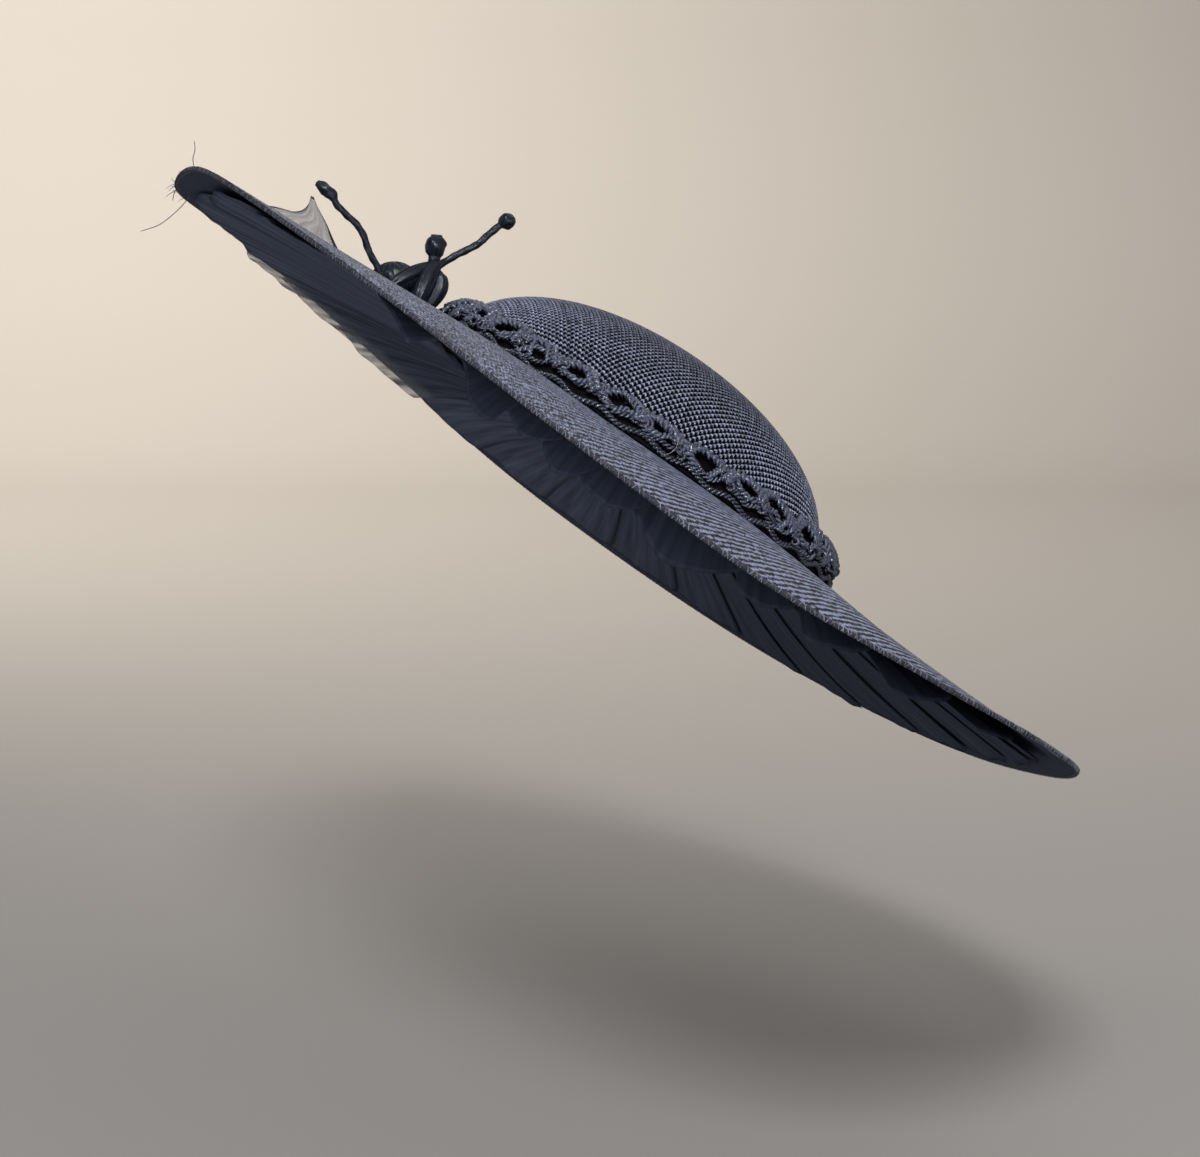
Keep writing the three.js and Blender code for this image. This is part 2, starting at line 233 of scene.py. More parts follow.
def welded(mesh):
    """Closes poles and caps: doubles are merged, and normals then turned outwards."""
    work = bmesh.new()
    work.from_mesh(mesh)
    bmesh.ops.remove_doubles(work, verts=work.verts, dist=0.002 * MM)
    bmesh.ops.recalc_face_normals(work, faces=work.faces)
    work.to_mesh(mesh)
    work.free()


def in_hat(node):
    """A CAD node's corners in the hat's frame, in millimetres."""
    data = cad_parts[node].data
    points = np.empty(len(data.vertices) * 3)
    data.vertices.foreach_get("co", points)
    return points.reshape(-1, 3) @ HAT / MM


CROWN = in_hat("crown").max(axis=0)  # its half length, half width and height


# ---- shader nodes ----


class Number:
    """A socket that carries a number. Python's arithmetic on it adds Math nodes."""

    def __init__(self, finish, socket):
        self.finish = finish
        self.socket = socket

    def math(self, operation, *others):
        return self.finish.node("Math", {"operation": operation}, dict(enumerate([self, *others])))

    def __add__(self, other):
        return self.math("ADD", other)

    def __mul__(self, other):
        return self.math("MULTIPLY", other)

    def __sub__(self, other):
        return self.math("SUBTRACT", other)

    def __rsub__(self, other):
        return self.finish.node("Math", {"operation": "SUBTRACT"}, {0: other, 1: self})

    __radd__ = __add__
    __rmul__ = __mul__


class Finish:
    """A material under construction. Shader constants are set on the shader's own sockets."""

    def __init__(self, name, **constants):
        self.material = bpy.data.materials.new(name)
        self.material.use_nodes = True
        self.tree = self.material.node_tree
        self.shader = self.tree.nodes["Principled BSDF"]
        for socket, value in constants.items():
            self.shader.inputs[socket.replace("_", " ")].default_value = value

    def node(self, kind, settings=None, sockets=None, output=0):
        """Adds a node: its settings first, then its sockets' values or links."""
        made = self.tree.nodes.new("ShaderNode" + kind)
        for key, value in (settings or {}).items():
            setattr(made, key, value)
        for key, value in (sockets or {}).items():
            self.give(made.inputs[key], value)
        return Number(self, made.outputs[output])

    def give(self, socket, value):
        if isinstance(value, Number):
            self.tree.links.new(value.socket, socket)
        else:
            socket.default_value = value

    def set(self, **sockets):
        """Links what varies over the surface to the shader."""
        for socket, value in sockets.items():
            self.give(self.shader.inputs[socket.replace("_", " ")], value)
        return self.material

    def blend(self, share, first, second):
        """A colour between two, by a share. A Mix node's colours are sockets 6 and 7, and output 2."""
        return self.node("Mix", {"data_type": "RGBA"}, {0: share, 6: first, 7: second}, 2)

    def noise(self, vector, scale, detail=2.0):
        return self.node("TexNoise", None, {"Vector": vector, "Scale": scale, "Detail": detail})

    def fade(self, number, start, end, low, high):
        """Goes smoothly from low to high as a number goes from a start to an end."""
        sockets = {0: number, 1: start, 2: end, 3: low, 4: high}
        return self.node("MapRange", {"interpolation_type": "SMOOTHSTEP"}, sockets)

    def bump(self, height, distance, strength=1.0):
        return self.node("Bump", None, {"Height": height, "Distance": distance, "Strength": strength})

    def place(self, turn=0, size=(1, 1, 1)):
        """Object coordinates in the hat's frame, in millimetres, turned about its z and stretched."""
        cos, sin = math.cos(math.radians(turn)), math.sin(math.radians(turn))
        turned = np.array([[cos, sin, 0], [-sin, cos, 0], [0, 0, 1]]) @ HAT.T
        euler = mathutils.Matrix(turned.tolist()).to_euler("XYZ")
        thing = self.node("TexCoord", output="Object")
        flat = self.node("Mapping", None, {"Vector": thing, "Rotation": euler, "Scale": (1 / MM,) * 3})
        return self.node("VectorMath", {"operation": "MULTIPLY"}, {0: flat, 1: size})

    def parts(self, vector):
        """A vector's three numbers."""
        split = self.node("SeparateXYZ", None, {0: vector})
        return [Number(self, socket) for socket in split.socket.node.outputs]

    def own(self, size=(1, 1, 1)):
        """The piece's own coordinates along and across it, in millimetres."""
        flat = self.node("TexCoord", output="UV")
        return self.node("VectorMath", {"operation": "MULTIPLY"}, {0: flat, 1: size})


# ---- finishes ----


def rgb(red, green, blue, alpha=1.0):
    """A colour given as a display shows it, 0 to 255, as linear light."""
    light = [c / 255 for c in (red, green, blue)]
    return tuple(c / 12.92 if c <= 0.04045 else ((c + 0.055) / 1.055) ** 2.4 for c in light) + (alpha,)


def low_side(finish, start, end, least):
    """A share that grows from the least to 1 as x, the way to the low tip, goes from a start to an end."""
    return finish.fade(finish.parts(finish.place())[0], start, end, least, 1.0)


def crown_straw():
    """Flat satin straw. Each strand has a tone of its own and fine fibres along it, and is painted brightest
    where it rides over the strand that it crosses and darkest where it dips under it, painted highlight and
    shade: its own length in crossings is u / PITCH. The crest is painted darker, a painted shade."""
    finish = Finish("crown straw", Roughness=0.33, Specular_IOR_Level=0.15)
    along, across, _ = finish.parts(finish.own())
    slant = along + across * 0.8
    # over is a painted highlight on each float where the strand rides over, and painted shade where it dips
    # under
    over = ((slant * (math.pi / PITCH)).math("SINE") * 2.6 - 0.9).math("MAXIMUM", 0.0).math("MINIMUM", 1.0)
    fibres = finish.noise(finish.own((0.25, 6, 1)), 1.0, 3)
    tone = finish.noise(finish.own((0.05, 0.5, 1)), 1.0, 2)
    # crest is painted shade: the colour darkens towards the top of the dome
    crest = finish.fade(finish.parts(finish.place())[2], 0.3 * CROWN[2], CROWN[2], 1.0, 0.35)
    share = over * (tone * 2.2 - 0.35) * (fibres * 0.5 + 0.7) * crest
    colour = finish.blend(share, rgb(2, 3, 6), rgb(174, 178, 202))
    return finish.set(Base_Color=colour, Normal=finish.bump(fibres, 0.06 * MM, 0.6))


def crown_shadow():
    """The lining behind the crown's strands, painted near-black as the shade seen in the gaps between them.
    """
    finish = Finish("crown shade lining", Roughness=0.85, Specular_IOR_Level=0.0)
    grain = finish.noise(finish.place(), 1.2, 2)
    return finish.set(Base_Color=finish.blend(grain, rgb(4, 5, 9), rgb(12, 13, 20)))


def brim_straw():
    """A plain weave. With a and b counting strands, c = sin(pi a) sin(pi b) says which strand is on top,
    and the height is max(|sin(pi b)| + c/2, |sin(pi a)| - c/2); the higher strands are painted lighter, a
    painted highlight. Slanting ribs stand out towards the low tip, and painted glints stand for light
    catching stray fibres."""
    finish = Finish("brim straw", Roughness=0.5, Specular_IOR_Level=0.2)
    place = finish.place(GRAIN)
    wander = finish.noise(place, 0.03, 2) * 1.5
    x, y, _ = finish.parts(place)
    a = (x * (math.pi / PITCH) + wander).math("SINE")
    b = (y * (math.pi / PITCH) - wander).math("SINE")
    top = a * b
    height = (b.math("ABSOLUTE") + top * 0.5).math("MAXIMUM", a.math("ABSOLUTE") - top * 0.5)
    across = finish.parts(finish.place(RIB_TURN))[1]
    uneven = finish.noise(finish.place(RIB_TURN, (0.02, 0.22, 1)), 1.0, 2)
    rib = (across * (TAU / RIB_PITCH) + wander + uneven * 5).math("SINE")
    streak = finish.noise(finish.place(RIB_TURN, (0.05, 0.42, 1)), 1.0, 2)
    # glint is painted glints: light on stray fibres painted into the colour
    glint = finish.noise(finish.place(GRAIN, (1.5, 0.55, 1)), 1.0, 2)
    fleck = finish.noise(finish.place(GRAIN, (0.7, 0.25, 1)), 1.0, 1)
    ribbed = low_side(finish, -95.0, 30.0, 0.12)
    ribs = (rib * 0.42 + (streak - 0.5) * 1.2) * ribbed
    # height * 0.2 paints the raised strands lighter, a painted highlight
    share = height * 0.2 + ribs * 2.3 + (glint - 0.5) * 4.2 + (fleck - 0.5) * 2.2 + 0.15
    colour = finish.blend(share, rgb(5, 7, 12), rgb(154, 162, 190))
    relief = height + rib * ribbed * 0.6
    return finish.set(Base_Color=colour, Normal=finish.bump(relief, 0.3 * MM, 0.8))


def brim_lining():
    """The smooth dark cloth under the straw."""
    finish = Finish("brim lining", Roughness=0.8, Specular_IOR_Level=0.0)
    grain = finish.noise(finish.place(), 1.4, 2)
    return finish.set(Base_Color=finish.blend(grain, rgb(48, 50, 60), rgb(84, 88, 104)))


def edge_thread():
    """The overcast stitches of the edge: shiny thread, pale here and there."""
    finish = Finish("edge thread", Roughness=0.38)
    tone = finish.noise(finish.own((0.13, 0.7, 1)), 1.0, 1)
    share = (tone * 3.4 - 1.3).math("MAXIMUM", 0.0) * low_side(finish, -200.0, -40.0, 0.3)
    colour = finish.blend(share, rgb(36, 36, 45), rgb(150, 151, 164))
    twist = finish.node("TexWave", None, {"Vector": finish.own((1, 1, 1)), "Scale": 1.1, "Distortion": 1.0})
    return finish.set(Base_Color=colour, Normal=finish.bump(twist, 0.05 * MM, 0.5))


def edge_strip():
    """The bias strip rolled over the wire, a little darker towards the high tip."""
    finish = Finish("edge strip", Roughness=0.7, Specular_IOR_Level=0.1)
    grain = finish.noise(finish.own((1.2, 2.4, 1)), 1.0, 3)
    patch = finish.noise(finish.own((0.03, 0.3, 1)), 1.0, 2)
    share = (grain * 0.6 + patch * 0.5) * low_side(finish, -200.0, -40.0, 0.65)
    colour = finish.blend(share, rgb(22, 21, 26), rgb(84, 83, 94))
    return finish.set(Base_Color=colour, Normal=finish.bump(grain, 0.2 * MM, 0.7))


def satin_cord(name, dark, light, girth, wave=0.0, beats=0):
    """Cord wound with satin thread: fine ribs across it and long streaks of painted sheen. It is painted
    lighter on its outer side and darker on its inner side, and in a plait lighter where it rides over the
    other strands and darker where it passes under them: painted highlight and shade."""
    finish = Finish(name, Roughness=0.22, Specular_IOR_Level=0.8)
    along, across, _ = finish.parts(finish.own())
    rib = (along * (TAU * 0.9) + across * 1.6).math("SINE") * 0.5 + 0.5
    # The streaks are painted sheen.
    streak = finish.noise(finish.own((0.35, 1.1, 1)), 1.0, 2)
    # The cosine across paints the outer side lighter and the inner side darker: painted highlight and shade.
    share = (rib * 0.4 + streak * 2.2 - 0.75) * ((across * (1 / girth)).math("COSINE") * 0.7 + 0.6)
    if beats:
        # over: painted highlight where the strand rides over, painted shade where it passes under
        over = (along * (TAU * beats / wave) + (2 - beats) * math.pi / 2).math("SINE")
        share = share * (over * 0.9 + 0.7).math("MAXIMUM", 0.0)
    colour = finish.blend(share.math("MAXIMUM", 0.0), dark, light)
    return finish.set(Base_Color=colour, Normal=finish.bump(rib * 0.7 + streak * 0.6, 0.2 * MM, 0.9))


def flower_satin():
    """Near-black satin with soft long streaks of painted sheen."""
    finish = Finish("flower satin", Roughness=0.27, Specular_IOR_Level=0.3)
    streak = finish.noise(finish.own((0.12, 0.9, 1)), 1.0, 3)
    # The streaks are painted sheen.
    colour = finish.blend(streak * 1.5 - 0.35, rgb(3, 4, 7), rgb(46, 52, 66))
    return finish.set(Base_Color=colour, Normal=finish.bump(streak, 0.6 * MM, 0.8))


def shaded_padding():
    """The padding inside the trim's loops, painted near-black as the shade in their hollows."""
    finish = Finish("trim shade padding", Roughness=0.7, Specular_IOR_Level=0.05)
    folds = finish.noise(finish.own((0.25, 0.8, 1)), 1.0, 3)
    # Near-black: painted shade in the loops' hollows.
    colour = finish.blend(folds, rgb(4, 4, 5), rgb(22, 22, 22))
    return finish.set(Base_Color=colour, Normal=finish.bump(folds, 0.5 * MM, 0.6))


def petal_cloth(name, dark, light):
    """Soft cloth with a dull painted sheen: long faint streaks run out from the crown, and a very fine
    grain. It is painted darker towards the low tip, a painted shade.
    """
    finish = Finish(name, Roughness=0.7, Specular_IOR_Level=0.0)
    streak = finish.noise(finish.own((0.012, 0.2, 1)), 1.0, 3)
    grain = finish.noise(finish.own((1.6, 1.6, 1)), 1.0, 2)
    # low_side darkens the cloth towards the low tip: painted shade. The streaks are painted sheen.
    share = (streak * 1.2 + grain * 0.3 - 0.3) * low_side(finish, 150.0, -60.0, 0.4)
    return finish.set(Base_Color=finish.blend(share, dark, light),
                      Normal=finish.bump(streak + grain * 0.25, 0.5 * MM, 0.6))


def sheer_cloth(solid, thick):
    """Organza with soft creases painted into its colour as lighter and darker streaks, painted sheen and
    shade. Up to a run of solid millimetres it hides what is behind it by the share thick, and beyond that
    it is bare and pale in patches."""
    finish = Finish("sheer cloth", Roughness=0.7, Specular_IOR_Level=0.0)
    along = finish.parts(finish.own())[0]
    folds = finish.noise(finish.own((0.03, 0.12, 1)), 1.0, 2)
    crease = finish.noise(finish.own((0.012, 0.16, 1)), 1.0, 3)
    worn = finish.fade(along, solid, solid + 22.0, 0.0, 1.0)
    bare = worn * (folds * 2.6 - 0.55).math("MAXIMUM", 0.0).math("MINIMUM", 1.0)
    # The creases are painted sheen and shade.
    creased = finish.blend(crease * 2.2 - 0.6, rgb(50, 54, 66), rgb(84, 90, 108))
    colour = finish.blend(bare, creased, rgb(136, 139, 147))
    return finish.set(Base_Color=colour, Alpha=(1 - bare) * (thick - 0.35) + 0.35)


# ---- the brim ----


def along_at(x, y):
    """How far along the brim points lie: the t for which (x, y) is on the oval between the opening's and
    the rim's, found by halving."""
    low, high = np.full(x.shape, -0.6), np.full(x.shape, 1.6)
    for _ in range(40):
        t = (low + high) / 2
        inside = ((x - SHIFT * t) / mix(OPENING[0], RIM, t)) ** 2 + (y / mix(OPENING[1], RIM, t)) ** 2 < 1
        low, high = np.where(inside, low, t), np.where(inside, t, high)
    return (low + high) / 2


def brim_place(points):
    """The angle and the share along the brim of points in the hat's frame."""
    x, y = points[:, 0], points[:, 1]
    t = along_at(x, y)
    angle = np.arctan2(y / mix(OPENING[1], RIM, t), (x - SHIFT * t) / mix(OPENING[0], RIM, t))
    return np.degrees(angle) % 360, t


def brim_curves(step=4):
    """The frame's brim read back: for each step of angle, the p and q of its upper face p t + q t^2, by
    least squares."""
    points = in_hat("brim")
    angle, t = brim_place(points)
    column = np.round(angle / step).astype(int) % (360 // step)
    height = points[:, 2] + STRAW / 2

    def total(v):
        return np.bincount(column, v, 360 // step)

    a, b, c = total(t**2), total(t**3), total(t**4)
    f, g = total(t * height), total(t**2 * height)
    return (f * c - g * b) / (a * c - b * b), (g * a - f * b) / (a * c - b * b)


BRIM = brim_curves()


def on_brim(angle, along, lift=0.0):
    """Points on the brim's upper face, or lifted off it."""
    angle, along, lift = np.broadcast_arrays(angle, along, lift)
    cos, sin = np.cos(np.radians(angle)), np.sin(np.radians(angle))
    x = mix(OPENING[0] * cos, SHIFT + RIM * cos, along)
    y = mix(OPENING[1] * sin, RIM * sin, along)
    z = ring(BRIM[0], angle) * along + ring(BRIM[1], angle) * along**2
    return np.stack([x, y, z + lift], -1)


def out_from(angle):
    """The level direction out from the opening at an angle."""
    a = np.radians(angle)
    return np.stack([np.cos(a), np.sin(a), np.zeros_like(a)], -1)


def turns(count):
    return np.arange(count) * 360 / count


def make_brim(straw, lining):
    """The straw brim: at each angle a flat loop over the top, round the rim and back below, lined. The
    whole brim sways a little up and down."""
    width = RIM - OPENING.min()
    edge = 1 - 2.2 / width
    top = np.linspace(0, edge, 26)
    bend = np.radians(np.linspace(60, -60, 5))
    along = np.concatenate([top, edge + STRAW / 2 / width * np.cos(bend), top[::-1]])
    lift = np.concatenate([0 * top, -STRAW / 2 + STRAW / 2 * np.sin(bend), 0 * top - STRAW])
    angle = turns(720)[:, None]
    sway = 0.5 * np.sin(np.radians(angle * 9 + 40)) * np.sin(np.radians(angle * 4)) * along**3
    grid = on_brim(angle, along, lift + sway)
    under = np.arange(len(along)) >= len(top) + len(bend)
    under = np.broadcast_to(under, (len(angle), len(along)))
    piece("brim_straw", [grid[:, ::-1]], straw, (True, True), replaces=["brim"],
          second=(lining, under[:, ::-1]))


# Loose ends of thread at the high tip.
TIP_THREADS = [[(-231.5, -6, -1.4), (-234, -6, 1.6), (-235.4, -5, 5.2), (-238, -5, 8.6)],
               [(-227, -14, -5), (-225, -13, -15.3), (-228.4, -12, -30), (-234.6, -12, -39.1)],
               [(-230, 12, -2), (-234.4, 14, -7), (-235.6, 15, -13), (-234, 15, -18)]]


def make_edge(strip, thread):
    """The wired edge: a rolled strip, overcast stitches that slant over it from the top to the underside,
    and loose ends of thread and a short fringe at the high tip."""
    cord = 1.1  # half the wired edge's thickness with its stitches
    middle = 1 - cord / WIDTH
    path = on_brim(turns(900), middle, -STRAW / 2)
    grids, uvs = cords(path[None], cord * 0.8, (0, 0, 1), 8, closed=True)
    piece("edge_roll", grids, strip, (True, True), uvs, ["edge_cord"])

    # A stitch's course: in from the rim on top, over the roll and back below, as out and up in millimetres.
    count = 690
    share = np.linspace(-1, 0.3, 8)
    both = []
    for slope in (2.3, -1.3):
        start = turns(count) + chance.normal(0, 0.07, count) + slope * 0.06
        reach = chance.uniform(0.9, 2.6, (count, 1))
        out = -reach * (np.abs(share) ** 1.5) + 0.1
        up = np.sign(-share) * np.minimum(np.abs(share) * 5, 1) * (cord - 0.08) * (1 - 0.22 * share**2)
        slant = chance.normal(slope, 0.5, (count, 1)) * share
        theta = start[:, None] + np.degrees(slant / RIM)
        along = middle + (out + (cord - 0.1) * np.cos(share * 1.5)) / WIDTH
        both.append(on_brim(theta, along, -STRAW / 2 + up))
    girth = chance.uniform(0.13, 0.25, (2 * count, 1))
    grids, uvs = cords(np.concatenate(both), girth, np.array([0.3, 0.2, 1.0]), 5)
    piece("edge_stitches", grids, thread, (False, True), uvs, weld=True)

    frayed = 16
    theta = 180 + chance.normal(0, 5, (frayed, 1))
    share = np.linspace(0, 1, 8)
    out = middle + chance.uniform(1.5, 4, (frayed, 1)) * share / WIDTH
    bend = chance.normal(-0.6, 2.2, (frayed, 1)) * share**2
    fringe = on_brim(theta + chance.normal(0, 0.6, (frayed, 1)) * share, out, bend - STRAW / 2)
    ends = np.stack([curve(route, 24) for route in TIP_THREADS])
    short, short_uvs = cords(fringe, 0.13, np.array([0.2, 0.1, 1.0]), 4)
    long, long_uvs = cords(ends, 0.19, np.array([0.1, -1.0, 0.2]), 5)
    piece("edge_fringe", short, thread, (False, True), short_uvs, weld=True)
    piece("edge_loose_ends", long, thread, (False, True), long_uvs, weld=True)


# ---- the crown ----


def on_crown(angle, turn, lift=0.0):
    """The dome x = a c cos, y = b c sin, z = h s, with c and s the cosine and sine of turn to the power
    2 / fullness, lifted along its normal."""
    angle, turn, lift = np.broadcast_arrays(angle, turn, lift)
    a = np.radians(angle)
    power = 2 / CROWN_FULLNESS
    c = np.maximum(np.cos(np.radians(turn)), 0) ** power
    s = np.sin(np.radians(turn)) ** power
    point = np.stack([CROWN[0] * c * np.cos(a), CROWN[1] * c * np.sin(a), CROWN[2] * s], -1)
    return point + lift[..., None] * unit(point / CROWN**2)


def turn_at(height):
    """The turn at which the dome has risen by a height."""
    return np.degrees(np.arcsin(np.clip(height / CROWN[2], 0, 1) ** (CROWN_FULLNESS / 2)))


def crown_reach():
    """The dome's run over the top, from its crest to each turn, in millimetres, half-way between its long
    side and its short one."""
    turn = np.linspace(90, 0, 400)
    return run_of(on_crown(45, turn)), turn


def make_crown(lining, straw):
    """A dark shell, and over it two families of flat strands, woven plain. A flat cloth's u and v, turned
    by its grain, are laid on the dome by their distance from the crest. Strand i lies at u = (i + 1/2) p
    and is lifted by (-1)^i A sin(pi v / p); the other family is lifted the other way. A strand is flat
    below and ridged above, closes to a point at both ends, and stops behind the trim."""
    angle = turns(120)[:, None]
    turn = np.linspace(0, 90, 22)
    outer = on_crown(angle, turn, -0.95)
    inner = on_crown(angle, turn, -STRAW - 0.2)
    grid = np.concatenate([outer, inner[:, ::-1]], axis=1)
    # The shell's near-black finish is painted shade, seen in the gaps between the strands.
    piece("crown_shell", [grid], lining, (True, True), replaces=["crown"], weld=True)

    run, turn = crown_reach()
    ends = float(np.interp(turn_at(3.0), turn[::-1], run[::-1]))
    most = math.floor(ends / PITCH)
    for family in (0, 1):
        grids, uvs = [], []
        for row in range(-most, most):
            across = (row + 0.5) * PITCH
            steps = math.floor(math.sqrt(max(ends**2 - across**2, 0)) / (PITCH / 2))
            if steps < 2:
                continue
            strand = np.arange(-steps, steps + 1) * PITCH / 2
            under = 1 if (row + family) % 2 else -1
            rise = 0.36 * under * np.sin(np.pi * strand / PITCH)
            sway = 0.07 * np.sin(strand / 9 + row * 3.7) + chance.normal(0, 0.04)
            wide = 0.66 * chance.uniform(0.86, 1.1)
            aside = across + sway[:, None] + np.array([-wide, 0, wide])
            up = rise[:, None] + np.array([-0.3, 0.1, -0.3])
            along = np.broadcast_to(strand[:, None], aside.shape)
            u, v = (aside, along) if family == 0 else (along, -aside)
            place = np.degrees(np.arctan2(v, u)) + GRAIN
            ribbon = on_crown(place, np.interp(np.hypot(u, v), run, turn), up)
            ribbon[[0, -1]] = ribbon[[0, -1], 1:2]
            grids.append(ribbon)
            phase = (strand if under > 0 else strand + PITCH) + row * 18 * PITCH
            uvs.append(np.stack(np.broadcast_arrays(phase[:, None], np.arange(4) * wide), -1))
        piece(f"crown_weave_{family + 1}", grids, straw, (False, True), uvs, weld=True)


# ---- the trim ----

# The pale thread's course.
LOOSE_THREAD = [(0.6, -99.5, 13), (4.5, -103, 10.6), (7, -105, 7.6),
                (7.2, -105.5, 3.6), (5.2, -105, 0.8), (3.0, -104, 0.2)]


def trim_face(angle, q):
    """The trim's rounded face over the crown's foot. With f the foot, e the level way out and q from 0
    below to 1 above, it is (1-q)^2 A + 2q(1-q) B + q^2 C: A is f + reach e on the brim, B stands over A
    and C is on the crown's wall. The face reaches further at the hat's two ends."""
    angle, q = np.broadcast_arrays(np.asarray(angle, float), q)
    cos = np.cos(np.radians(angle))
    reach, rise = 10.6 + 2.5 * cos, 12 + 4.5 * cos**2
    foot = on_crown(angle, 0.0)
    level = on_brim(angle, reach / WIDTH)[..., 2]
    low = foot + reach[..., None] * out_from(angle)
    over = foot + 0.86 * reach[..., None] * out_from(angle)
    low[..., 2] = level + 0.6
    over[..., 2] = level + 0.9 * rise
    top = on_crown(angle, turn_at(rise), 0.7)
    q = q[..., None]
    return (1 - q) ** 2 * low + 2 * q * (1 - q) * over + q**2 * top


def trim_ways(angle, q):
    """On the trim's face: the place, and the ways along the trim, up its face and out of it."""
    along = unit(trim_face(angle + 0.5, q) - trim_face(angle - 0.5, q))
    up = trim_face(angle, q + 0.02) - trim_face(angle, q - 0.02)
    out = unit(np.cross(along, up))
    return trim_face(angle, q), along, np.cross(out, along), out


def vary(low, high):
    """A random number for each loop of the trim."""
    return chance.uniform(low, high, (LOOPS, 1))


def plaited(name, finish, angle, q, rise, strands, wide, high, wave, beats, radius, sides):
    """A twist or braid sewn down along lines on the trim's face, with its middle a rise above it."""
    here, _, _, out = trim_ways(angle, q)
    paths, run = plait(here + rise * out, out, strands, wide, high, wave, beats)
    grids, uvs = cords(paths, radius, out[:, None], sides, run=run, gap=4 * wave)
    piece(name, grids, finish, (False, True), uvs, weld=True)


def make_padding(finish):
    """The trim's padding, painted near-black as the shade in the loops' hollows, from its face in to the
    crown's foot. Inside each loop it sinks by the root of 1 - u^2 - ((q - 1/2) / 0.4)^2, with u from -1
    to 1 across the loop."""
    angle = turns(840)[:, None]
    q = np.linspace(0, 1, 20)
    u = np.mod(angle / 360 * LOOPS, 1) * 2 - 1
    lens = np.sqrt(np.maximum(1 - u**2 - ((q - 0.5) / 0.4) ** 2, 0))
    crease = 0.25 * np.sin(angle * 1.9 + q * 9) * np.sin(angle * 0.7)
    here, _, _, out = trim_ways(angle, q)
    face = here + (crease - 1.6 - 1.3 * lens)[..., None] * out
    foot = on_crown(angle, 1.0, 0.15)
    grid = np.concatenate([face, foot], axis=1)
    run = CROWN[0] * np.radians(np.append(angle, 360))[:, None]
    flat = np.stack(np.broadcast_arrays(run, np.arange(len(q) + 2) * 0.9), -1)
    pad = piece("trim_padding", [grid], finish, (True, True), [flat], ["loop_trim"], weld=True)


def make_trim(braided, twisted, foot_shade_cord, ribbed, pale):
    """For each loop a braid along its arch, a twist that crosses it, a twist along its bottom, a ribbed
    cord from one knot towards the middle, and knots at its ends. A twist painted darker than the others,
    a painted shade, runs round the foot, and a pale thread hangs out of one loop. Across a loop u runs from
    -1 to 1; the arch is at q = 0.44 + h (1 - |u|^2.2), with h about a half."""
    k = np.arange(LOOPS)[:, None]
    u = np.linspace(-1.1, 1.1, 56)
    middle = (k + 0.5 + vary(-0.12, 0.12)) * 360 / LOOPS
    theta = middle + u * vary(0.88, 1.08) * 180 / LOOPS
    arch = 0.44 + vary(0.38, 0.58) * (1 - np.abs(u) ** 2.2) + 0.05 * np.sin(u * 5 + k)
    girth = vary(0.85, 1.1)[..., None]
    plaited("trim_arches", braided, theta, arch, 0.9, 3, 2.0, 1.1, BRAID_WAVE, 2, girth, 7)
    cross = 0.3 + vary(0.1, 0.42) * (1 - np.abs(u) ** 1.8) + 0.06 * np.sin(u * 8 + k * 3)
    girth = vary(0.65, 0.85)[..., None]
    aside = 180 / LOOPS + vary(-2.5, 2.5)
    plaited("trim_crossings", twisted, theta + aside, cross, 0.2, 2, 0.95, 0.8, TWIST_WAVE, 1, girth, 6)
    bottom = 0.4 - vary(0.06, 0.24) * (1 - u**2) + 0.03 * np.sin(u * 7 + k * 2)
    plaited("trim_inner_lines", twisted, theta, bottom, -0.2, 2, 0.8, 0.65, TWIST_WAVE, 1, 0.62, 5)

    theta = np.linspace(0, 360, 1000)[None]
    low = 0.1 + 0.06 * np.sin(np.radians(theta * LOOPS)) + 0.03 * np.sin(np.radians(theta * 7))
    # The foot twist wears the darker foot cord, a painted shade along the trim's foot.
    plaited("trim_foot_line", foot_shade_cord, theta, low, -0.7, 2, 0.85, 0.6, TWIST_WAVE, 1, 0.75, 5)

    u = np.linspace(0, 1, 34)
    way = np.where(chance.uniform(size=(LOOPS, 1)) < 0.7, 1, -1)
    theta = middle + way * (-0.95 + u * vary(0.7, 1.25)) * 180 / LOOPS
    here, _, _, out = trim_ways(theta, 0.5 - u * vary(0.1, 0.34))
    bumpy = 1.15 * (1 + 0.16 * np.cos(TAU * run_of(here) / 1.15)) * (0.6 + 0.4 * np.sin(u * math.pi))
    grids, uvs = cords(here - 0.1 * out, bumpy, out, 8)
    piece("trim_ribbed_ends", grids, ribbed, (False, True), uvs, weld=True)

    knots = []
    t = np.linspace(0, TAU, 56, endpoint=False)
    for low, high, size in ((0.5, 0.74, 3.4), (0.24, 0.46, 2.6)):
        here, along, up, out = trim_ways((k + vary(-0.14, 0.14)) * 360 / LOOPS, vary(low, high))
        turn, length = vary(0, TAU), vary(0.75, 1.3)
        p = size * length * (np.sin(t) + 2 * np.sin(2 * t)) / 3
        r = size / length * (np.cos(t) - 2 * np.cos(2 * t)) / 3
        aside, rise = p * np.cos(turn) - r * np.sin(turn), p * np.sin(turn) + r * np.cos(turn)
        out_by = 0.8 - 1.0 * np.sin(3 * t)
        knots.append(here + aside[..., None] * along + rise[..., None] * up + out_by[:, None] * out)
    knots = np.concatenate(knots)
    _, _, _, out = trim_ways(np.tile(k * 360 / LOOPS, (2, 1)), 0.5)
    grids, uvs = cords(knots, 0.78, out, 6, closed=True)
    piece("trim_knots", grids, ribbed, (True, True), uvs)

    line = curve(LOOSE_THREAD, 40)
    grids, uvs = cords(line[None], 0.13, (0, -1, 0.3), 5)
    piece("loose_thread", grids, pale, (False, True), uvs, weld=True)


# ---- the flower ----

